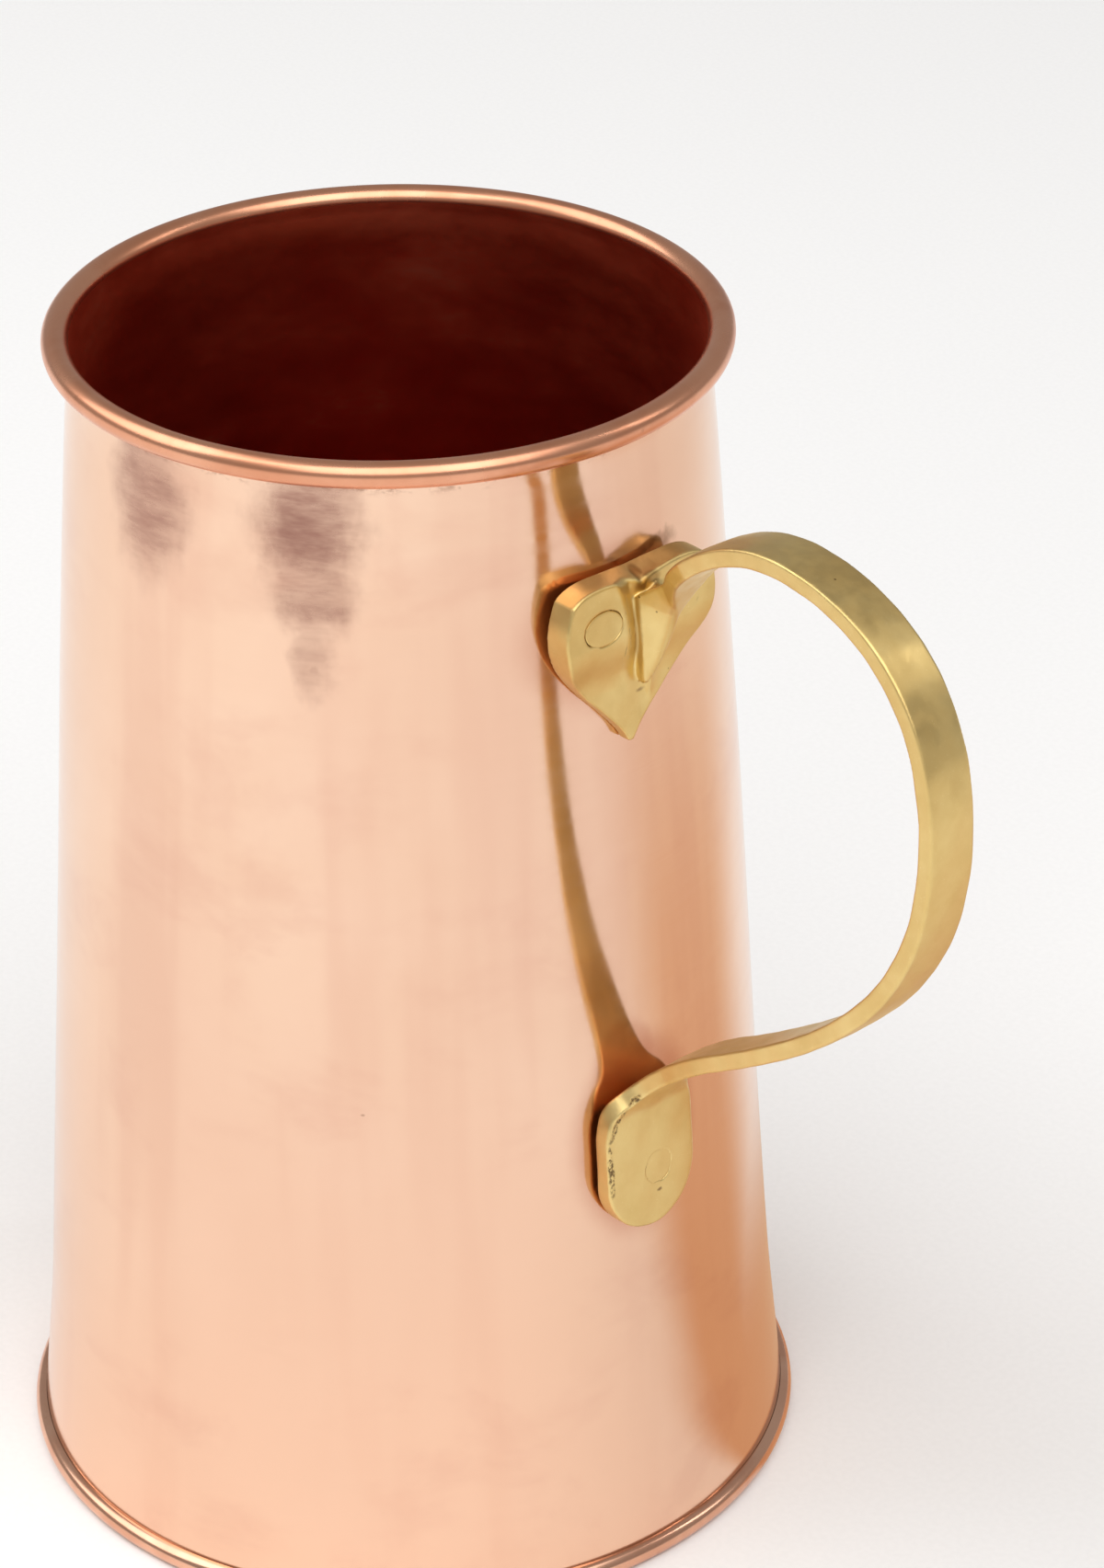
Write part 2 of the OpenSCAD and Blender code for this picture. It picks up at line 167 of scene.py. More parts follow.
# ---------------------------------------------------------------- materials
class Shader:
    """A node material built from short calls. Coordinates are the part's own, in metres."""

    def __init__(self, name):
        self.mat = bpy.data.materials.new(name)
        self.mat.use_nodes = True
        self.tree = self.mat.node_tree
        self.bsdf = self.tree.nodes["Principled BSDF"]
        self.place = self.new("ShaderNodeTexCoord").outputs["Object"]

    def new(self, kind, values=(), **props):
        """A node. values gives its inputs, each a constant or another node's output."""
        n = self.tree.nodes.new(kind)
        for k, v in props.items():
            setattr(n, k, v)
        for k, v in dict(values).items():
            if isinstance(v, bpy.types.NodeSocket):
                self.tree.links.new(v, n.inputs[k])
            else:
                n.inputs[k].default_value = v
        return n

    def math(self, op, a, b=0.0, c=0.0, clamp=False):
        return self.new("ShaderNodeMath", {0: a, 1: b, 2: c}, operation=op, use_clamp=clamp).outputs[0]

    def vector(self, op, a, b):
        return self.new("ShaderNodeVectorMath", {0: a, 1: b}, operation=op).outputs[0]

    def length(self, vector):
        return self.new("ShaderNodeVectorMath", {0: vector}, operation="LENGTH").outputs["Value"]

    def parts(self, vector):
        """The X, Y and Z of a vector."""
        return self.new("ShaderNodeSeparateXYZ", {0: vector}).outputs

    def off_axis(self, x=0.0, y=0.0):
        """Distance from the upright line through (x, y), in metres."""
        return self.length(self.vector("MULTIPLY", self.vector("SUBTRACT", self.place, (x, y, 0)), (1, 1, 0)))

    def stretch(self, scale, turn=(0, 0, 0), centre=(0, 0, 0), kind="POINT", vector=None):
        """Coordinates scaled, turned and moved, to draw a pattern long one way or to look from a place."""
        return self.new(
            "ShaderNodeMapping",
            {"Vector": vector or self.place, "Location": centre, "Rotation": turn, "Scale": scale},
            vector_type=kind,
        ).outputs[0]

    def noise(self, vector, scale, detail=3.0, rough=0.5, distort=0.0):
        return self.new(
            "ShaderNodeTexNoise",
            {"Vector": vector, "Scale": scale, "Detail": detail, "Roughness": rough, "Distortion": distort},
        ).outputs["Fac"]

    def ramp(self, x, a, b, lo=0.0, hi=1.0):
        """Goes smoothly from lo to hi while x goes from a to b."""
        return self.new(
            "ShaderNodeMapRange",
            {"Value": x, "From Min": a, "From Max": b, "To Min": lo, "To Max": hi},
            interpolation_type="SMOOTHSTEP",
        ).outputs[0]

    def mix(self, fac, a, b):
        """Colour a where fac is 0 and b where it is 1."""
        return self.new("ShaderNodeMix", {0: fac, 6: a, 7: b}, data_type="RGBA").outputs[2]

    def blob(self, centre, radii, turn=0.0, wobble=None):
        """Distance from a centre, 1 on an ellipsoid with these radii, in metres, turned about Z."""
        vector = self.vector("ADD", self.place, wobble) if wobble else self.place
        return self.length(self.stretch(radii, (0, 0, turn), centre, "TEXTURE", vector))

    def wobble(self, scale, size, detail=3.0, vector=None):
        """A random offset, about size metres across, that makes an outline ragged."""
        colour = self.new(
            "ShaderNodeTexNoise",
            {"Vector": vector or self.place, "Scale": scale, "Detail": detail, "Roughness": 0.6},
        ).outputs["Color"]
        off = self.vector("SUBTRACT", colour, (0.5, 0.5, 0.5))
        return self.new("ShaderNodeVectorMath", {0: off, "Scale": size}, operation="SCALE").outputs[0]

    def dots(self, vector, scale, edge, core, share):
        """Round dots in the few cells of a random pattern whose own number is over share."""
        cells = self.new("ShaderNodeTexVoronoi", {"Vector": vector, "Scale": scale, "Randomness": 1.0})
        pick = self.new("ShaderNodeSeparateColor", {0: cells.outputs["Color"]}).outputs[0]
        chosen = self.math("GREATER_THAN", pick, share)
        return self.math("MULTIPLY", self.ramp(cells.outputs["Distance"], edge, core), chosen)

    def set(self, **values):
        names = {"colour": "Base Color", "metal": "Metallic", "rough": "Roughness", "aniso": "Anisotropic",
                 "turn": "Anisotropic Rotation", "normal": "Normal", "tangent": "Tangent"}
        for k, v in values.items():
            s = self.bsdf.inputs[names[k]]
            if isinstance(v, bpy.types.NodeSocket):
                self.tree.links.new(v, s)
            else:
                s.default_value = v

    def bump(self, height, depth, normal=None):
        """A normal that shows height as relief, depth metres deep, on top of another normal."""
        v = {"Height": height, "Strength": 1.0, "Distance": depth}
        if normal:
            v["Normal"] = normal
        return self.new("ShaderNodeBump", v).outputs[0]


def on_wall(angle, z, inset=0.0):
    """A point of the wall's outside, in metres."""
    a, r = math.radians(angle), float(wall_r(z)) - inset
    return (r * math.cos(a) * MM, r * math.sin(a) * MM, z * MM)


def smoke(s, ragged):
    """1 on the two smoky stains that run down from the rim, 0 off them."""
    stain = 0.0
    # Angle, height, half width and half height in millimetres, strength
    for angle, z, wide, tall, deep in ((-87, 187, 9.5, 15, 0.75), (-88, 181, 7.5, 6.5, 0.5),
                                       (-55, 189, 10, 13, 0.85), (-55, 178, 8.5, 8, 0.65),
                                       (-54.5, 168, 4.5, 9, 0.45), (-53.8, 166.3, 1.8, 1.4, 0.6)):
        spot = s.blob(on_wall(angle, z), (0.02, wide * MM, tall * MM), math.radians(angle), ragged)
        stain = s.math("MAXIMUM", stain, s.ramp(spot, 1.15, 0.35, 0, deep))
    grain = s.noise(s.stretch((60, 60, 240)), 1.0, 4, 0.7)
    return s.math("MULTIPLY", stain, s.ramp(grain, 0.25, 0.75, 0.55, 1.15), clamp=True)


def copper_outside():
    """Polished copper with fine marks round the jug, stains under the rim and cloudy tarnish."""
    s = Shader("Copper_Polished")
    # Polishing marks: fine lines that run round the jug
    lines = s.noise(s.stretch((6, 6, 2400)), 1.0, 2, 0.6)
    marks = s.noise(s.stretch((25, 25, 520)), 1.0, 4, 0.65)
    cloud = s.noise(s.place, 28, 4, 0.55, 0.4)
    broad = s.noise(s.stretch((1, 1, 0.5)), 14, 2, 0.5)
    colour = s.mix(s.ramp(cloud, 0.35, 0.7), (0.87, 0.585, 0.42, 1), (0.905, 0.63, 0.465, 1))
    colour = s.mix(s.ramp(broad, 0.38, 0.66, 0, 0.6), colour, (0.84, 0.54, 0.40, 1))
    # Upright bands where the sheet was worked and polished, and a warmer tone low down
    bands = s.noise(s.stretch((1, 1, 0.06)), 62, 3, 0.55, 0.2)
    colour = s.mix(s.ramp(bands, 0.50, 0.68, 0, 0.42), colour, (0.78, 0.465, 0.335, 1))
    height = s.parts(s.place)["Z"]
    colour = s.mix(s.ramp(height, 0.11, 0.02, 0, 0.5), colour, (0.88, 0.555, 0.385, 1))
    ragged = s.wobble(170, 0.009, 5, s.stretch((1, 1, 0.7)))
    stain = smoke(s, ragged)
    colour = s.mix(stain, colour, (0.36, 0.175, 0.135, 1))
    # Faint cloudy tarnish all over
    faint = s.math("MULTIPLY", s.ramp(s.noise(s.stretch((1, 1, 1.6)), 34, 5, 0.6, 0.3), 0.5, 0.72), 0.26)
    colour = s.mix(faint, colour, (0.70, 0.37, 0.27, 1))
    # Oxide left in the corner under the rim and above the leaf
    under = s.math("MULTIPLY", s.ramp(height, 0.1932, 0.1956), s.ramp(s.off_axis(), 0.0503, 0.0500))
    fleck = s.ramp(s.noise(s.stretch((1, 1, 1.5)), 330, 5, 0.7), 0.5, 0.66)
    specks = s.math("MULTIPLY", under, fleck, clamp=True)
    colour = s.mix(s.math("MULTIPLY", specks, 0.7), colour, (0.22, 0.085, 0.05, 1))
    smudge = s.blob(on_wall(10.5, 175.8), (0.01, 0.0048, 0.0021), math.radians(12), ragged)
    colour = s.mix(s.ramp(smudge, 1.2, 0.2, 0, 0.8), colour, (0.20, 0.12, 0.06, 1))
    # Painted shade: darker, redder copper close round the leaf and the pad, where they shade the wall and
    # darken what it reflects
    for angle, z, wide, tall, deep in ((-1, 167, 17.5, 14, 0.4), (-1, 78.5, 13, 18, 0.55),
                                       (-3, 93, 6, 7, 0.35)):
        near = s.blob(on_wall(angle, z), (0.03, wide * MM, tall * MM), 0.0, s.wobble(120, 0.002))
        colour = s.mix(s.ramp(near, 1.12, 0.72, 0, deep), colour, (0.52, 0.19, 0.11, 1))
    # Small dark nicks
    nicks = s.dots(s.stretch((1, 1, 1.5)), 75.0, 0.035, 0.012, 0.72)
    colour = s.mix(s.math("MULTIPLY", nicks, 0.45), colour, (0.25, 0.11, 0.07, 1))
    rough = s.math("ADD", s.ramp(marks, 0.3, 0.7, 0.115, 0.165), s.math("MULTIPLY", stain, 0.22))
    bump = s.bump(lines, 0.0000035)
    bump = s.bump(cloud, 0.00006, bump)
    bump = s.bump(marks, 0.000004, bump)
    around = s.new("ShaderNodeTangent", direction_type="RADIAL", axis="Z").outputs[0]
    s.set(colour=colour, metal=1.0, rough=rough, normal=bump, aniso=0.55, turn=0.25, tangent=around)
    return s.mat


def copper_bead(name, light, dark, rough):
    """Handled, slightly browned copper of the rolled rim and the foot's folded edge."""
    s = Shader(name)
    cloud = s.noise(s.place, 55, 4, 0.6, 0.5)
    colour = s.mix(s.ramp(cloud, 0.32, 0.68), (*light, 1), (*dark, 1))
    spots = s.ramp(s.noise(s.place, 420, 4, 0.7), 0.64, 0.76, 0, 0.3)
    colour = s.mix(spots, colour, (0.30, 0.12, 0.07, 1))
    s.set(colour=colour, metal=1.0, rough=s.ramp(cloud, 0.3, 0.7, rough, rough + 0.06),
          normal=s.bump(s.noise(s.place, 60, 1, 0.5), 0.00004))
    return s.mat


def copper_inside():
    """Duller, darker red copper of the inside."""
    s = Shader("Copper_Inside")
    cloud = s.noise(s.place, 26, 4, 0.6)
    smear = s.noise(s.stretch((40, 40, 90)), 1.0, 5, 0.7)
    colour = s.mix(s.ramp(cloud, 0.3, 0.7), (0.62, 0.065, 0.03, 1), (0.70, 0.085, 0.04, 1))
    # Painted light and shade: lighter and browner towards the rim, where light comes in, near black in the
    # corner of the base, where it hardly reaches
    height = s.parts(s.place)["Z"]
    colour = s.mix(s.ramp(height, 0.145, 0.196), colour, (0.80, 0.175, 0.085, 1))
    colour = s.mix(s.ramp(height, 0.12, 0.02, 0, 0.6), colour, (0.42, 0.04, 0.02, 1))
    # Dried water marks and scuffs
    colour = s.mix(s.ramp(smear, 0.56, 0.78, 0, 0.4), colour, (0.62, 0.26, 0.15, 1))
    s.set(colour=colour, metal=1.0, rough=s.ramp(smear, 0.3, 0.8, 0.3, 0.44), normal=s.bump(cloud, 0.00008))
    return s.mat


def brass(name):
    """Sand-cast brass, brushed over: a fine glittering grain, slow clouds and a few dark pits."""
    s = Shader(name)
    sand = s.noise(s.place, 2600, 3, 0.6)
    soft = s.noise(s.place, 420, 3, 0.5)
    cloud = s.noise(s.place, 60, 4, 0.6)
    colour = s.mix(s.ramp(cloud, 0.3, 0.7), (0.81, 0.615, 0.265, 1), (0.72, 0.51, 0.195, 1))
    spark = s.ramp(sand, 0.62, 0.75, 0, 0.35)
    colour = s.mix(spark, colour, (0.92, 0.76, 0.42, 1))
    pits = s.dots(s.place, 420.0, 0.11, 0.05, 0.965)
    colour = s.mix(s.math("MULTIPLY", pits, 0.75), colour, (0.16, 0.09, 0.03, 1))
    rough = s.ramp(soft, 0.3, 0.7, 0.34, 0.44)
    bump = s.bump(soft, 0.00002)
    bump = s.bump(sand, 0.000008, bump)
    s.set(colour=colour, metal=1.0, rough=rough, normal=bump)
    return s


def handle_brass():
    """The casting's brass, with its casting pits, its file marks and painted shade in its groove and in a
    corner.
    """
    s = brass("Brass_Cast")
    colour = s.bsdf.inputs["Base Color"].links[0].from_socket
    # Black casting pits in a broken string along the pad's left edge and up its shoulder
    jitter = s.wobble(700, 0.0009, 3)

    def along(start, end, r, wander):
        """1 close to the line between two points, in millimetres, and 0 further off than about r."""
        mid = tuple((a + b) / 2 * MM for a, b in zip(start, end))
        turn = (Vector(end) - Vector(start)).to_track_quat("Z", "Y").to_euler()
        radii = (r * MM, r * MM, math.dist(start, end) / 2 * MM)
        local = s.stretch(radii, tuple(turn), mid, "TEXTURE", s.vector("ADD", s.place, wander))
        return s.ramp(s.length(local), 1.3, 0.7)

    string = along((60.5, -9.6, 71.5), (60.4, -9.95, 82.0), 0.5, jitter)
    string = s.math("MAXIMUM", string, along((60.3, -9.8, 81.5), (60.5, -6.6, 87.4), 0.6, jitter))
    string = s.math("MAXIMUM", string, along((60.5, -6.6, 87.4), (62.9, -3.9, 90.6), 0.55, jitter))
    broken = s.ramp(s.noise(s.place, 1500, 4, 0.75), 0.47, 0.58)
    pitted = s.math("MULTIPLY", string, broken)
    colour = s.mix(s.math("MULTIPLY", pitted, 0.85), colour, (0.10, 0.055, 0.03, 1))
    # File marks beside the groove
    fine = s.noise(s.stretch((900, 2600, 260)), 1.0, 3, 0.7)
    zone = s.ramp(s.blob((0.0572, -0.0024, 0.1675), (0.003, 0.0011, 0.0075)), 1.1, 0.6)
    filed = s.math("MULTIPLY", zone, s.ramp(fine, 0.56, 0.68))
    colour = s.mix(s.math("MULTIPLY", filed, 0.5), colour, (0.30, 0.21, 0.10, 1))
    # Painted shade: darker brown in the groove beside the stem and in the corner above the notch
    drift = s.wobble(500, 0.0006, 3)
    groove = along((56.7, -0.85, 173.5), (56.0, 0.6, 159.2), 0.7, drift)
    colour = s.mix(s.math("MULTIPLY", groove, 0.6), colour, (0.40, 0.235, 0.075, 1))
    corner = s.math("MAXIMUM", along((55.9, -0.4, 174.3), (56.6, 4.3, 175.2), 1.25, drift),
                    along((52.6, 1.5, 176.5), (56.0, 0.8, 174.4), 0.95, drift))
    colour = s.mix(s.math("MULTIPLY", corner, 0.72), colour, (0.34, 0.185, 0.055, 1))
    # Small flaws: one at the lower rivet's edge and one at the stem's foot
    for place, size in (((0.0607, 0.0001, 0.0693), (0.001, 0.00055, 0.00028)),
                        ((0.0560, 0.0014, 0.1560), (0.0015, 0.0009, 0.0004))):
        flaw = s.blob(place, size, 0.0, s.wobble(1500, 0.0005))
        colour = s.mix(s.ramp(flaw, 1.4, 0.5, 0, 0.75), colour, (0.20, 0.10, 0.05, 1))
    s.set(colour=colour)
    normal = s.bsdf.inputs["Normal"].links[0].from_socket
    s.set(normal=s.bump(s.math("MULTIPLY", s.math("ADD", pitted, filed), -1.0), 0.00012, normal))
    return s.mat


def plain_metal(name, a, b, rough):
    """Dull metal in two tones, for the pieces that hardly show."""
    s = Shader(name)
    n = s.noise(s.place, 300, 4, 0.6)
    big = s.noise(s.place, 70, 3, 0.5)
    s.set(colour=s.mix(s.ramp(big, 0.3, 0.7), (*a, 1), (*b, 1)), metal=1.0,
          rough=s.ramp(n, 0.3, 0.7, rough, rough + 0.12), normal=s.bump(n, 0.00003))
    return s.mat


def floor_material():
    """Plain pale paper."""
    s = Shader("Paper")
    n = s.noise(s.place, 900, 3, 0.5)
    colour = s.mix(s.ramp(n, 0.3, 0.7), (0.93, 0.93, 0.93, 1), (0.95, 0.95, 0.95, 1))
    s.set(colour=colour, metal=0.0, rough=0.8)
    s.bsdf.inputs["Specular IOR Level"].default_value = 0.2
    return s.mat


COPPER = copper_outside()
INSIDE = copper_inside()
BRASS = handle_brass()
RIVET = brass("Brass_Rivet").mat
WASHER = plain_metal("Copper_Washer", (0.52, 0.17, 0.09), (0.62, 0.24, 0.13), 0.33)
SOLDER = plain_metal("Solder", (0.42, 0.37, 0.33), (0.55, 0.50, 0.45), 0.35)
WIRE = plain_metal("Rim_Wire", (0.62, 0.30, 0.19), (0.72, 0.38, 0.26), 0.32)
RIM = copper_bead("Copper_Rim", (0.82, 0.41, 0.255), (0.72, 0.32, 0.185), 0.25)
FOOT = copper_bead("Copper_Foot", (0.84, 0.50, 0.35), (0.72, 0.38, 0.25), 0.17)


# ---------------------------------------------------------------- turned pieces
ROLL_POINTS = 26


def wall_sections():
    """Two sides of the sheet from the flange up to the raw edge of the roll: outside, inside."""
    out_turn = arc(EDGE_X - GAP + 0.25, EDGE_R + SHEET / 2 + 0.25, 0.25, 270, 180, 4)
    in_turn = arc(EDGE_X - GAP - SHEET + 1.05, EDGE_R + SHEET / 2 + 0.25, 1.05, 270, 180, 4)
    zs = np.concatenate([np.linspace(2 * EDGE_R, 34, 16), np.linspace(37, 192, 62)])
    rise = np.array([193.4, 194.8, 196.0, 197.0])
    lean = smooth(192, 199.2, rise) * 0.75
    up = np.column_stack([np.r_[wall_r(zs), wall_r(rise) + lean], np.r_[zs, rise]])
    outside = np.vstack([[[EDGE_X + 0.8, EDGE_R + SHEET / 2]], out_turn, up,
                         arc(ROLL_X, ROLL_Z, WIRE_R + GAP, 180, -118, ROLL_POINTS)])
    inner = up - [SHEET, 0]
    inside = np.vstack([[[EDGE_X + 0.8, EDGE_R - SHEET / 2]], in_turn, inner,
                        arc(ROLL_X, ROLL_Z, ROLL_R, 180, -118, ROLL_POINTS)])
    return outside, inside


outside, inside = wall_sections()
profile = np.vstack([outside, inside[::-1]])
# The outside comes first, up and over the roll, then the inside back down
roll_start = len(outside) - ROLL_POINTS
roll_end = len(outside) + ROLL_POINTS - 1
slots = [0 if i < roll_start else 2 if i < roll_end else 1 for i in range(len(profile))]
wall = lathe("Wall", profile, 384, [COPPER, INSIDE, RIM], slots)

wire = lathe("Rim_Wire", arc(ROLL_X, ROLL_Z, WIRE_R, 0, 360, 25)[:-1], 256, [WIRE])

panel_r = STAND_X - PANEL_SLOPE
under = np.vstack([[[0, PANEL_LIFT]], [[20, PANEL_LIFT]], [[panel_r - 1.2, PANEL_LIFT]],
                   [[panel_r - 0.3, PANEL_LIFT - 0.12]], [[panel_r + 0.2, PANEL_LIFT - 0.5]],
                   [[STAND_X - 0.35, 0.35]], [[STAND_X, 0.06]], [[STAND_X + 0.5, 0]],
                   arc(EDGE_X, EDGE_R, EDGE_R, 270, 450, 25)])
over = np.vstack([[[0, PANEL_LIFT + SHEET]], [[20, PANEL_LIFT + SHEET]],
                  [[panel_r - 0.6, PANEL_LIFT + SHEET]],
                  [[panel_r + 0.3, PANEL_LIFT + SHEET - 0.15]], [[panel_r + 0.8, PANEL_LIFT + SHEET - 0.5]],
                  [[STAND_X + 0.2, SHEET + 0.3]], [[STAND_X + 0.6, SHEET]],
                  arc(EDGE_X, EDGE_R, EDGE_R - SHEET, 270, 450, 21)])
base_slots = [0] * len(under) + [1] * (len(over) - 1)
base = lathe("Base_Plate", np.vstack([under, over[::-1]]), 384, [FOOT, INSIDE], base_slots, closed=False)

wall_in = float(wall_r(4.0)) - SHEET - GAP
# The solder's hollow fillet, sunk 0.1 mm into the base and the wall
fillet = arc(wall_in - 1.9, PANEL_LIFT + SHEET + 1.9, 1.9, 270, 354, 12) + [0.1, -0.1]
solder = lathe("Seam_Solder", np.vstack([
    [[STAND_X + 0.8, SHEET + GAP], [EDGE_X, SHEET + GAP], [EDGE_X, EDGE_R - SHEET / 2 - GAP],
     [wall_in, EDGE_R - SHEET / 2 - GAP], [wall_in, PANEL_LIFT + SHEET + 1.5]],
    fillet[::-1], [[STAND_X - 1.1, PANEL_LIFT + SHEET - 0.3]]]), 256, [SOLDER])


# ---------------------------------------------------------------- handle casting
def seat_x(z, z0, z1):
    """X of a flat back that lies against the wall from height z0 to z1."""
    r0, r1 = float(wall_r(z0)), float(wall_r(z1))
    return SEAT_GAP + r0 + (r1 - r0) * (z - z0) / (z1 - z0)


PAD_POINTS = 40
STRAP_JOIN_Z = PAD_Z + 21
LEAF_TOP_Z = LEAF_TIP_Z + LEAF_H
STEM_TOP_Z = 183.5


def leaf_back(z):
    """X of the leaf's flat back at height z."""
    return seat_x(z, LEAF_TIP_Z, LEAF_TOP_Z)


def pad_back(z):
    """X of the pad's flat back at height z."""
    return seat_x(z, PAD_Z, STRAP_JOIN_Z)


def spine():
    """Middle line of the bar from the pad's foot to the stem's, as [X, Z] with its distances."""
    end = np.array([pad_back(STRAP_JOIN_Z) + PAD_T / 2, STRAP_JOIN_Z])
    low = np.array([pad_back(56.0) + PAD_T / 2, 56.0])
    arm = end + ARM
    belly, crown, join, foot = (np.array(place) for place in (BELLY, CROWN, STEM_JOIN, STEM_FOOT))
    parts = [np.linspace(low, end, PAD_POINTS)[:-1],
             bezier([end, end + [0, 4.6], arm - [7.4, 4.1], arm], np.linspace(0, 1, 60))[:-1],
             bezier([arm, arm + [23.2, 13.2], belly - [0, 28.2], belly], np.linspace(0, 1, 80))[:-1],
             bezier([belly, belly + [0, 28.9], crown + [10.5, 0], crown], np.linspace(0, 1, 80))[:-1],
             bezier([crown, crown - [11.8, 0], join + [3.1, 11.5], join], np.linspace(0, 1, 80))[:-1],
             bezier([join, join - [0.9, 3.5], foot + [2.9, 5], foot], np.linspace(0, 1, 40))]
    line = np.vstack(parts)
    s = np.r_[0, np.cumsum(np.hypot(*np.diff(line, axis=0).T))]
    return line, s - s[PAD_POINTS - 1]


class Table:
    """A function of two variables, kept on a grid and read between its points."""

    def __init__(self, x0, y0, step, values):
        self.x0, self.y0, self.step, self.v = x0, y0, step, values

    def __call__(self, x, y):
        i = np.clip((x - self.x0) / self.step, 0, self.v.shape[0] - 1.001)
        j = np.clip((y - self.y0) / self.step, 0, self.v.shape[1] - 1.001)
        a, b = i.astype(np.int32), j.astype(np.int32)
        i, j = (i - a).astype(np.float32), (j - b).astype(np.float32)
        v = self.v
        near, far = v[a, b] * (1 - i) + v[a + 1, b] * i, v[a, b + 1] * (1 - i) + v[a + 1, b + 1] * i
        return near * (1 - j) + far * j


def grid(x0, x1, y0, y1, step):
    return np.meshgrid(np.arange(x0, x1, step), np.arange(y0, y1, step), indexing="ij")


def spine_tables():
    """Distance along the middle line and off it, as tables over X and Z."""
    x0, x1, z0, z1, step = 44.0, 128.0, 58.0, 198.0, 0.35
    line, dist = spine()
    gx, gz = grid(x0, x1, z0, z1, step)
    best = np.full(gx.shape, 1e9)
    s, n = np.zeros(gx.shape), np.zeros(gx.shape)
    for i in range(len(line) - 1):
        a, e = line[i], line[i + 1] - line[i]
        length = np.hypot(*e)
        dx, dz = gx - a[0], gz - a[1]
        t = (dx * e[0] + dz * e[1]) / length
        side = (dx * e[1] - dz * e[0]) / length
        tc = np.clip(t, 0 if i else -1e9, length if i < len(line) - 2 else 1e9)
        d = np.hypot(t - tc, side)
        near = d < best - 1e-9
        best = np.where(near, d, best)
        s = np.where(near, dist[i] + tc, s)
        n = np.where(near, np.where(side < 0, -d, d), n)
    return Table(x0, z0, step, s.astype(np.float32)), Table(x0, z0, step, n.astype(np.float32)), line, dist


def polygon_table(poly, x0, x1, y0, y1, step):
    """Signed distance to a closed outline, negative inside."""
    gx, gy = grid(x0, x1, y0, y1, step)
    d = np.full(gx.shape, 1e9)
    inside = np.zeros(gx.shape, bool)
    for a, b in zip(poly, np.roll(poly, -1, axis=0)):
        e = b - a
        if np.hypot(*e) < 1e-9:
            continue
        wx, wy = gx - a[0], gy - a[1]
        t = np.clip((wx * e[0] + wy * e[1]) / (e @ e), 0, 1)
        d = np.minimum(d, (wx - e[0] * t) ** 2 + (wy - e[1] * t) ** 2)
        if a[1] != b[1]:
            inside ^= ((a[1] > gy) != (b[1] > gy)) & (gx < e[0] * (gy - a[1]) / e[1] + a[0])
    d = np.sqrt(d)
    return Table(x0, y0, step, np.where(inside, -d, d).astype(np.float32))


S_AT, N_AT, LINE, DIST = spine_tables()
S_END = DIST[-1]


def s_of_z(z):
    """Distance along the spine where its last, falling part passes height z."""
    top = int(np.argmax(LINE[:, 1]))
    return float(np.interp(-z, -LINE[top:, 1], DIST[top:]))


def blank_outline():
    """The bar laid flat: [distance along it, Y], with the pad, its shoulders, the strap and the stem."""
    c = PAD_SHIFT
    end = -(STRAP_JOIN_Z - PAD_Z - PAD_R)
    a = np.radians(np.linspace(180, 90, 24))
    right = np.column_stack([end + PAD_R * np.cos(a), PAD_R * np.sin(a)])
    # The shoulder turns in from the pad's width and runs out into the strap
    t = np.linspace(0, 1, 14)
    side = np.vstack([bezier([[-4.5, 9.4], [-0.6, 9.4], [2.2, 8.4], [3.9, 6.5]], t),
                      bezier([[3.9, 6.5], [5.4, 4.8], [8.0, 4.5], [13.0, 4.4]], t)[1:]])
    top, tail = s_of_z(STEM_TOP_Z), s_of_z(158)
    half = np.vstack([right, side])
    shift = np.interp(half[:, 0], [-3, 13], [c, 0])
    up = np.column_stack([half[:, 0], shift + half[:, 1]])
    down = np.column_stack([half[:, 0], shift - half[:, 1]])
    # Stem: distance, left edge, right edge
    stem = np.array([[top - 6, -4.4, 4.4], [top, -4.35, 4.35],
                     [s_of_z(180), -3.6, 4.1], [s_of_z(177), -2.6, 3.7], [s_of_z(174), -1.6, 3.2],
                     [s_of_z(171), -0.7, 2.7], [s_of_z(166), -0.3, 2.4], [s_of_z(162), 0.2, 2.3],
                     [tail, 0.7, 2.0], [tail + 1.2, 1.2, 1.6]])
    up = np.vstack([up, stem[:, [0, 2]]])
    down = np.vstack([down, stem[:, [0, 1]]])
    return np.vstack([up, down[::-1]])


def heart_outline(notched):
    """The leaf's outline as [Y, Z]. The side that lies on the wall has no notch."""
    u = np.array([LEAF_HALF, LEAF_H])
    flank = np.array([[0.03, 0.0], [0.32, 0.28], [1.32, 0.5], [0.93, 0.94]])
    crest = np.array([[0.93, 0.94], [0.78, 1.015], [0.45, 1.01], [0.06, 0.955]])
    side = bezier(flank * u, np.linspace(0, 1, 40))
    lobe = bezier(crest * u, np.linspace(0, 1, 24))
    right = np.vstack([side, lobe[1:]])
    right[:, 1] += LEAF_TIP_Z
    notch = [[0, LEAF_TIP_Z + 0.935 * LEAF_H]]
    if not notched:
        right = right[: len(side) + 11]
        notch = [[0, right[-1, 1] + 0.1]]
    return np.vstack([right, notch, (right * [-1, 1])[::-1]])


BLANK = polygon_table(blank_outline(), -32.0, S_END + 8, -20.0, 20.0, 0.25)
HEART = polygon_table(heart_outline(True), -20.0, 20.0, 142.0, 184.0, 0.2)
HEART_BACK = polygon_table(heart_outline(False), -20.0, 20.0, 142.0, 184.0, 0.2)

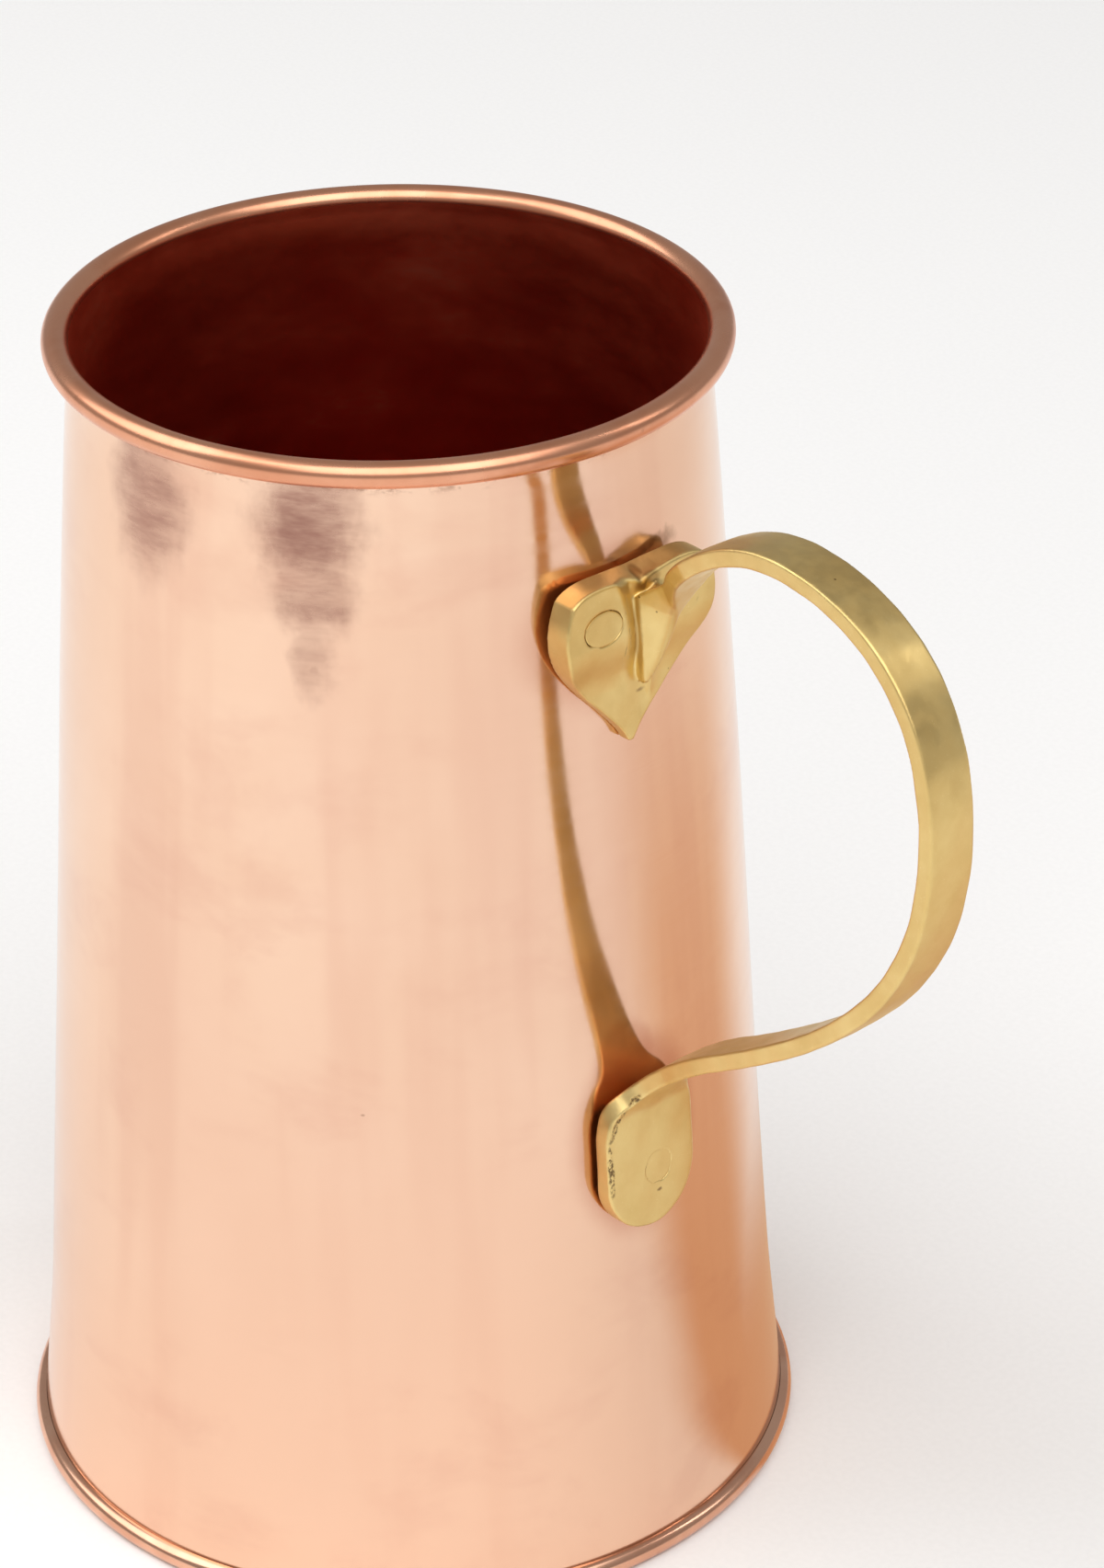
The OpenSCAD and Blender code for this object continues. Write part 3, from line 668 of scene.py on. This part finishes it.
# The leaf's front swells from its thin tip, below thin_z, to its thick lobes, above thick_z
thin_z, thick_z = LEAF_TIP_Z + 0.34 * LEAF_H, 167.6
thin_x, thick_x = leaf_back(thin_z) + LEAF_TIP_T, leaf_back(thick_z) + LEAF_T
LEAF_FRONT = bezier([[thin_x, thin_z], [thin_x, thin_z + 4.6], [thick_x, thick_z - 4.6], [thick_x, thick_z]],
                    np.linspace(0, 1, 40))
LEAF_TILT = math.atan((leaf_back(LEAF_TIP_Z) - leaf_back(LEAF_TOP_Z)) / LEAF_H)
STEM_START, STEM_FULL = s_of_z(178), s_of_z(165)


def leaf_front(z):
    """X of the leaf's front at height z."""
    base = np.interp(z, LEAF_FRONT[:, 1], LEAF_FRONT[:, 0])
    low = leaf_back(z) + LEAF_TIP_T
    high = leaf_back(z) + LEAF_T
    return np.where(z < LEAF_FRONT[0, 1], low, np.where(z > LEAF_FRONT[-1, 1], high, base))


def edge(a, b, r):
    """Corner between two surfaces, rounded to radius r."""
    qa, qb = a + r, b + r
    return np.minimum(np.maximum(qa, qb), 0) + np.hypot(np.maximum(qa, 0), np.maximum(qb, 0)) - r


def blend(a, b, k):
    """Two solids joined, with a fillet about k wide."""
    h = np.maximum(k - np.abs(a - b), 0) / k
    return np.minimum(a, b) - h * h * k / 4


# The leaf's back stands this far off its seat, and a cut that doesn't reach a point counts as DEEP
LEAF_SEAT, DEEP = 0.02, -5


def bar_solid(x, y, z):
    """Pad, strap and stem: one flat blank, bent along the middle line."""
    s, n = S_AT(x, z), N_AT(x, z)
    pad = smooth(7, -1, s)
    stem = smooth(STEM_START, STEM_FULL, s)
    slant = smooth(s_of_z(STEM_TOP_Z), s_of_z(166), s)
    flat = BLANK(s, y - 0.55 * slant * np.clip(x - 56.8, 0, 5.5))
    half_t = STRAP_T / 2 + 0.1 * pad
    across = np.clip(y / (STRAP_W / 2) * (1 - pad) + (y - PAD_SHIFT) / PAD_R * pad, -1, 1)
    outer = half_t - 0.14 + 0.14 * (1 - across**2) - 0.35 * pad * np.maximum(across, 0) ** 3
    outer = outer + stem * 7.0
    # The stem's front falls away to the right
    right = np.maximum(y - 0.8, 0)
    inner = half_t - 0.05 * across**2 - stem * 0.3 * right - 0.7 * slant
    r_out = 0.38 + 0.8 * pad * smooth(-0.2, 0.8, across)
    r_in = 0.35 + stem * 1.75
    bar = np.maximum(edge(flat, n - outer, r_out), edge(flat, -n - inner, r_in))
    return np.maximum(bar, np.where(s > STEM_START - 4, leaf_back(z) + LEAF_SEAT - x, DEEP))


def leaf_solid(x, y, z):
    """The heart leaf, with the groove that the stem leaves beside it."""
    # The leaf leans: its tip lies to the left of its middle
    leaf_y = y - LEAF_SHIFT + LEAF_SKEW * np.clip((173 - z) / 25, 0, 1)
    front = leaf_front(z)
    # The left lobe swells along the groove that runs down beside the stem
    groove_y = np.interp(z, [156, 160, 166, 171, 174, 177], [1.4, 0.75, -0.25, -0.65, -1.3, -2.2])
    swell = 0.35 * np.exp(-(((y - groove_y + 2.1) / 0.9) ** 2)) * smooth(154, 166, z)
    face = (x - front - swell) * math.cos(LEAF_TILT)
    w = np.clip((front - x) / LEAF_T, 0, 1)
    leaf = edge(HEART(leaf_y, z) * (1 - w) + HEART_BACK(leaf_y, z) * w, face, 0.4)
    # Valley between the left lobe and the stem, running out near the foot
    depth = np.interp(z, [157.5, 161, 166, 170, 178], [-0.4, 0.25, 0.5, 0.6, 0.75])
    half = np.interp(z, [158, 166, 174], [0.7, 1.3, 1.5])
    slope = np.maximum(depth, 0.2) / half
    bottom = front - depth + (np.hypot(y - groove_y, 0.35) - 0.35) * slope
    valley = (bottom - x) / np.sqrt(1 + slope * slope)
    leaf = -blend(-leaf, valley, 0.9)
    return np.maximum(leaf, leaf_back(z) + LEAF_SEAT - x)


def handle_solid(x, y, z):
    """Distance from the casting before its rivet holes are drilled, negative inside."""
    # A tight corner at the groove and a wide fillet on the right lobe. The wide one also swells
    # the leaf's back behind the stem, by up to about 0.8 mm.
    k = 0.55 + 4.5 * smooth(1.4, 3.4, y) * smooth(177, 171, z)
    whole = blend(bar_solid(x, y, z), leaf_solid(x, y, z), k)
    return np.maximum(whole, np.where(z < 98, pad_back(z) - x, DEEP))


def waves(x, y, z):
    """Slow unevenness of a sand casting."""
    short = np.sin(0.9 * x + 0.5 * y + 1.0) * np.sin(0.7 * z + 0.4 * y)
    return 0.035 * (short + np.sin(0.45 * z - 0.8 * y + 2.0) * 0.8)


def wall_tilt(z):
    """How far the wall leans in at height z, as an angle."""
    return math.atan(float(wall_r(z - 5) - wall_r(z + 5)) / 10)


def rivet_frame(angle, z):
    """Rivet axes: local +Z leaves the wall squarely."""
    r = float(wall_r(z))
    return (Matrix.Rotation(angle, 4, "Z") @ Matrix.Translation((r, 0, z))
            @ Matrix.Rotation(math.pi / 2 - wall_tilt(z), 4, "Y"))


def placed(points, matrix):
    """Points in a rivet's own axes, moved to where they are on the jug."""
    m = np.array(matrix)
    return np.asarray(points) @ m[:3, :3].T + m[:3, 3]


half_turn = math.asin(RIVET_SPREAD / (float(wall_r(RIVET_UPPER_Z)) + LEAF_T))
middle = math.asin(LEAF_SHIFT / float(wall_r(RIVET_UPPER_Z)))
RIVETS = {
    "Upper_Left": rivet_frame(middle - half_turn, RIVET_UPPER_Z),
    "Upper_Right": rivet_frame(middle + half_turn, RIVET_UPPER_Z),
    "Lower": rivet_frame(0.0, RIVET_LOWER_Z),
}


def rivet_radius(name, angle, w):
    """Radius of a shank at w along it. The upper left one is hammered to an oval where it shows."""
    base = np.full(np.broadcast(angle, w).shape, RIVET_R)
    if name == "Upper_Left":
        # Local X points down and local Y to the right
        oval = 1 / np.sqrt((np.cos(angle) / 2.75) ** 2 + (np.sin(angle) / 3.75) ** 2)
        base = base + (oval - RIVET_R) * smooth(3.6, 4.9, w)
    if name == "Lower":
        base = base - 0.2 * smooth(1.5, 3.0, w)
    return base


def hole_radius(name, angle, w):
    """Radius of a rivet's hole. It closes on the rivet near the face, but for where the joint shows."""
    tight = smooth(3.4, 4.2, w) if name != "Lower" else smooth(1.4, 2.2, w)
    if name == "Upper_Left":
        open_arc = 1 - smooth(0.93, 0.99, np.cos(angle - math.radians(325)))
    elif name == "Lower":
        open_arc = smooth(0.86, 0.97, np.cos(angle - math.radians(30))) * 0.8
    else:
        open_arc = 0.0 * angle
    return rivet_radius(name, angle, w) + GAP - 0.4 * tight * (1 - open_arc)


def handle(x, y, z):
    """The casting as a distance field, with its unevenness and its rivet holes."""
    d = handle_solid(x, y, z) + waves(x, y, z)
    for name, m in RIVETS.items():
        i = np.array(m.inverted())
        u = i[0, 0] * x + i[0, 1] * y + i[0, 2] * z + i[0, 3]
        v = i[1, 0] * x + i[1, 1] * y + i[1, 2] * z + i[1, 3]
        w = i[2, 0] * x + i[2, 1] * y + i[2, 2] * z + i[2, 3]
        hole = np.hypot(u, v) - hole_radius(name, np.arctan2(v, u), w)
        d = np.maximum(d, np.where(np.abs(w) < 9, -hole, DEEP))
    return d


def surface(field, low, high, h):
    """Mesh of a distance field, its points moved onto the exact surface."""
    low = np.asarray(low, float)
    count = np.ceil((np.asarray(high) - low) / h).astype(int) + 1
    values = np.empty(count, np.float32)
    gx = (low[0] + h * np.arange(count[0])).astype(np.float32)[:, None, None]
    gy = (low[1] + h * np.arange(count[1])).astype(np.float32)[None, :, None]
    for k in range(0, count[2], 16):
        gz = (low[2] + h * np.arange(k, min(k + 16, count[2]))).astype(np.float32)[None, None, :]
        b = np.broadcast_arrays(gx, gy, gz)
        values[:, :, k:k + 16] = field(*b)
    vol = openvdb.FloatGrid(3 * h)
    vol.copyFromArray(np.clip(values, -3 * h, 3 * h))
    points, quads = vol.convertToQuads(0.0)
    p = points.astype(np.float64) * h + low

    def slope(q):
        e = 0.04
        g = np.empty_like(q)
        for a in range(3):
            d = np.zeros(3)
            d[a] = e
            g[:, a] = (field(*(q + d).T) - field(*(q - d).T)) / (2 * e)
        return g

    for _ in range(3):
        g = slope(p)
        gg = np.maximum((g * g).sum(1), 0.3)
        move = -(field(*p.T) / gg)[:, None] * g
        size = np.linalg.norm(move, axis=1, keepdims=True)
        p += move * np.minimum(1, 0.5 * h / np.maximum(size, 1e-9))
    return p, quads.tolist()


casting = make("Handle", *surface(handle, (52.0, -16.0, 61.5), (124.5, 17.5, 194.5), 0.3), [BRASS], corner=0)


# ---------------------------------------------------------------- rivets and washers
# Along a rivet, measured from the wall's outside: a flat washer's two sides touch the hollow wall
WASHER_TOP = -SHEET - (GAP + WALL_R[3] - math.sqrt(WALL_R[3] ** 2 - WASHER_R**2))


def head_rows(seat):
    """The rivet's domed head and its shank, as rings of [radius, place along the rivet]."""
    dome_r = (HEAD_R**2 + HEAD_H**2) / (2 * HEAD_H)
    rows = [[0, seat - HEAD_H]]
    for a in np.radians(np.linspace(8, math.degrees(math.asin(HEAD_R / dome_r)) - 3, 9)):
        rows.append([dome_r * math.sin(a), seat - HEAD_H + dome_r * (1 - math.cos(a))])
    return rows + [[HEAD_R, seat - 0.22], [HEAD_R - 0.04, seat - 0.06], [HEAD_R - 0.16, seat],
                   [RIVET_R, seat], [RIVET_R, 0.5], [RIVET_R, 2.0]]


def face_place(matrix, u, v):
    """Where the casting's face cuts a line along the rivet."""
    m = np.array(matrix)
    w = np.full(u.shape, 4.5)
    for _ in range(14):
        p = [m[i, 0] * u + m[i, 1] * v + m[i, 2] * w + m[i, 3] for i in range(3)]
        w = w - np.clip(handle_solid(*p) + waves(*p), -1, 1) * 0.8
    return w


def rivet(name, matrix):
    """A headed shank from inside the jug, filed off level with the casting's face."""
    seat = WASHER_TOP - WASHER_T - GAP
    seg = 72
    ang = np.linspace(0, 2 * np.pi, seg, endpoint=False)
    rng = np.random.default_rng(len(name))
    phase = rng.uniform(0, 2 * np.pi, 3)
    verts, lines = [], []
    for k, (r, w) in enumerate(head_rows(seat)):
        if r == 0:
            lines.append([len(verts)] * seg)
            verts.append([0, 0, w])
            continue
        lines.append(list(range(len(verts), len(verts) + seg)))
        # The head is hammered a little out of round
        dent = 0.012 * np.cos(3 * ang + phase[0]) + 0.01 * np.cos(5 * ang + phase[1])
        radius = r * (1 + (dent if w < seat + 0.01 and r > RIVET_R else 0))
        flat = 0.05 * np.cos(2 * ang + phase[2]) if 0 < k < 8 else 0
        level = np.full(seg, w) + flat
        verts += np.column_stack([radius * np.cos(ang), radius * np.sin(ang), level]).tolist()
    # Filed end: rings from the rim in to the middle, as a share of the radius and a step down
    # The rim is sunk most on the side where the photographed joint is darkest
    shade = 0.5 + 0.5 * np.cos(ang - (math.radians(215) if name == "Upper_Left" else math.radians(30)))
    depth = {"Upper_Left": 0.02 + 0.16 * shade**1.5, "Upper_Right": 0 * shade, "Lower": 0.12 * shade**6}[name]
    wave = 0.04 * np.cos(7 * ang + phase[0]) + 0.03 * np.cos(11 * ang + phase[1])
    ends = [(1.0, 1.4), (1.0, 1.0), (1.0, 0.55), (0.985, 0.2), (0.96, 0.05),
            (0.92, 0.0), (0.8, 0.0), (0.6, 0.0), (0.4, 0.0), (0.2, 0.0)]
    for k, (share, down) in enumerate(ends):
        lines.append(list(range(len(verts), len(verts) + seg)))
        radius = (rivet_radius(name, ang, np.full(seg, 6.0)) + wave * 0.25) * share
        u, v = radius * np.cos(ang), radius * np.sin(ang)
        w = face_place(matrix, u, v) - np.where(down > 0.3, down, depth * (down / 0.2))
        if k == 0:
            # The first ring still has the shank's own radius
            radius = rivet_radius(name, ang, w)
            u, v = radius * np.cos(ang), radius * np.sin(ang)
        verts += np.column_stack([u, v, w]).tolist()
    lines.append([len(verts)] * seg)
    verts.append([0, 0, float(face_place(matrix, np.zeros(1), np.zeros(1))[0])])
    faces = []
    for a, b in zip(lines[:-1], lines[1:]):
        for i in range(seg):
            j = (i + 1) % seg
            # Round the two middle points the four corners are only three
            faces.append(list(dict.fromkeys([a[i], a[j], b[j], b[i]])))
    return make(f"Rivet_{name}", placed(verts, matrix), faces, [RIVET], corner=40)


def washer(name, matrix):
    """A flat washer, cut slightly out of round."""
    top = WASHER_TOP
    low = top - WASHER_T
    bore = RIVET_R + GAP
    ring = np.vstack([[[bore, low + 0.05], [bore + 0.06, low]],
                      arc(WASHER_R - 0.2, low + 0.2, 0.2, 270, 360, 5),
                      arc(WASHER_R - 0.12, top - 0.12, 0.12, 0, 90, 4),
                      [[bore + 0.04, top], [bore, top - 0.05]]])
    ob = lathe(f"Washer_{name}", ring, 96, [WASHER], uneven=False)
    co = np.empty(len(ob.data.vertices) * 3)
    ob.data.vertices.foreach_get("co", co)
    co = co.reshape(-1, 3) / MM
    a = np.arctan2(co[:, 1], co[:, 0])
    rim = smooth(4.6, 5.6, np.hypot(co[:, 0], co[:, 1]))
    co[:, :2] *= 1 + (rim * 0.012 * np.cos(5 * a + len(name)))[:, None]
    ob.data.vertices.foreach_set("co", (placed(co, matrix) * MM).ravel())
    ob.data.update()
    return ob


pieces = [(wall, "wall", "copper_wall"), (wire, "rim_wire", "rim_wire"), (base, "base_plate", "copper_base"),
          (solder, "seam_solder", "solder"), (casting, "handle", "cast_brass")]
for name, m in RIVETS.items():
    pieces.append((rivet(name, m), "rivet_" + name.lower(), "rivet_brass"))
    pieces.append((washer(name, m), "washer_" + name.lower(), "washer_copper"))


def drill(ob):
    """Cuts the rivets' holes through the wall."""
    seg = 48
    for name, m in RIVETS.items():
        ang = np.linspace(0, 2 * np.pi, seg, endpoint=False)
        ring = np.column_stack([(RIVET_R + GAP) * np.cos(ang), (RIVET_R + GAP) * np.sin(ang)])
        ends = [np.column_stack([ring, np.full(seg, w)]) for w in (-4.0, 4.0)]
        faces = [[i, (i + 1) % seg, seg + (i + 1) % seg, seg + i] for i in range(seg)]
        faces += [list(range(seg - 1, -1, -1)), list(range(seg, 2 * seg))]
        tool = make("drill_" + name, placed(np.vstack(ends), m), faces, [COPPER], corner=0)
        mod = ob.modifiers.new("hole", "BOOLEAN")
        mod.operation, mod.object, mod.solver = "DIFFERENCE", tool, "FAST"
        bpy.context.view_layer.objects.active = ob
        bpy.ops.object.modifier_apply(modifier=mod.name)
        bpy.data.objects.remove(tool)


drill(wall)

for ob, node, slot in pieces:
    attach(ob, "root")
    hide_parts(node)

# ---------------------------------------------------------------- studio
bpy.ops.mesh.primitive_plane_add(size=6.0, location=(0, 0, 0))
floor = bpy.context.object
floor.name = "Floor"
floor.data.materials.append(floor_material())


def softbox(name, place, aim, size, power):
    """A rectangular area light that faces aim."""
    light = bpy.data.lights.new(name, "AREA")
    light.shape, light.size, light.size_y = "RECTANGLE", size[0], size[1]
    light.energy = power
    ob = bpy.data.objects.new(name, light)
    bpy.context.scene.collection.objects.link(ob)
    ob.location = place
    ob.rotation_euler = (Vector(place) - Vector(aim)).to_track_quat("Z", "Y").to_euler()


def around(turn, distance, height):
    """A place seen from the camera's side: turn is measured from the camera, + to its right."""
    a = math.radians(CAMERA_AZIMUTH + turn)
    return (distance * math.cos(a), distance * math.sin(a), height)


softbox("Key", around(-97, 1.3, 1.45), (0, 0, 0.1), (1.6, 1.6), 16)
softbox("Over", around(8, 1.5, 2.3), (0, 0, 0.1), (3.4, 2.6), 57)
softbox("Right", around(96, 1.7, 1.35), (0.1, 0, 0.15), (0.12, 0.9), 2.2)


def card_material():
    """A warm card that is clear at its edges, so that it fades into the floor round it."""
    s = Shader("Card_Warm")
    # Its glow fans out from a point at the foot, just beside the handle, between two directions
    point_x, point_y = 0.052, 0.022
    at = s.parts(s.place)
    turned = s.math("ARCTAN2", s.math("SUBTRACT", at["Y"], point_y), s.math("SUBTRACT", at["X"], point_x))
    reach = s.off_axis(point_x, point_y)
    fan = s.math("MULTIPLY", s.ramp(turned, math.radians(20), math.radians(54)),
                 s.ramp(turned, math.radians(112), math.radians(80)))
    fan = s.math("MULTIPLY", fan, s.ramp(reach, 0.44, 0.16, 0.25, 1.0))
    # Close to the foot it comes further round to the front
    near = s.math("MULTIPLY", s.ramp(turned, math.radians(10), math.radians(48)),
                  s.ramp(s.off_axis(), 0.135, 0.08))
    tone = s.mix(s.ramp(reach, 0.03, 0.22), (0.68, 0.43, 0.265, 1), (0.80, 0.58, 0.42, 1))
    glow = s.new("ShaderNodeEmission", {"Color": tone}).outputs[0]
    clear = s.new("ShaderNodeBsdfTransparent").outputs[0]
    cover = s.new("ShaderNodeMixShader", {0: s.math("MAXIMUM", fan, near), 1: clear, 2: glow}).outputs[0]
    s.tree.links.new(cover, s.tree.nodes["Material Output"].inputs["Surface"])
    s.tree.nodes.remove(s.bsdf)
    return s.mat


# The card lies beside the jug, where only the polished metal sees it
card_mesh = bpy.data.meshes.new("Card")
card_corners = [(-0.45, -0.05), (0.5, -0.05), (0.5, 0.6), (-0.45, 0.6)]
card_mesh.from_pydata([(x, y, 0.0006) for x, y in card_corners], [], [(0, 1, 2, 3)])
card_mesh.materials.append(card_material())
card = bpy.data.objects.new("Card", card_mesh)
bpy.context.scene.collection.objects.link(card)
card.visible_camera = card.visible_shadow = card.visible_diffuse = False

world = bpy.data.worlds.new("Studio")
bpy.context.scene.world = world
world.use_nodes = True
background = world.node_tree.nodes["Background"].inputs
background["Color"].default_value = (1, 0.97, 0.94, 1)
background["Strength"].default_value = 0.36

cam = bpy.data.cameras.new("Camera")
cam.lens, cam.sensor_width = 125.76, 36
cam.clip_start, cam.clip_end = 0.05, 20
cam_ob = bpy.data.objects.new("Camera", cam)
bpy.context.scene.collection.objects.link(cam_ob)
heading, tilt, roll = (math.radians(a) for a in (47.93, 60.74, -0.49))
turn = Matrix.Rotation(heading, 4, "Z") @ Matrix.Rotation(tilt, 4, "X") @ Matrix.Rotation(roll, 4, "Z")
cam_ob.matrix_world = Matrix.Translation((0.5870, -0.4969, 0.5481)) @ turn
bpy.context.scene.camera = cam_ob
bpy.context.scene.view_settings.view_transform = "Standard"
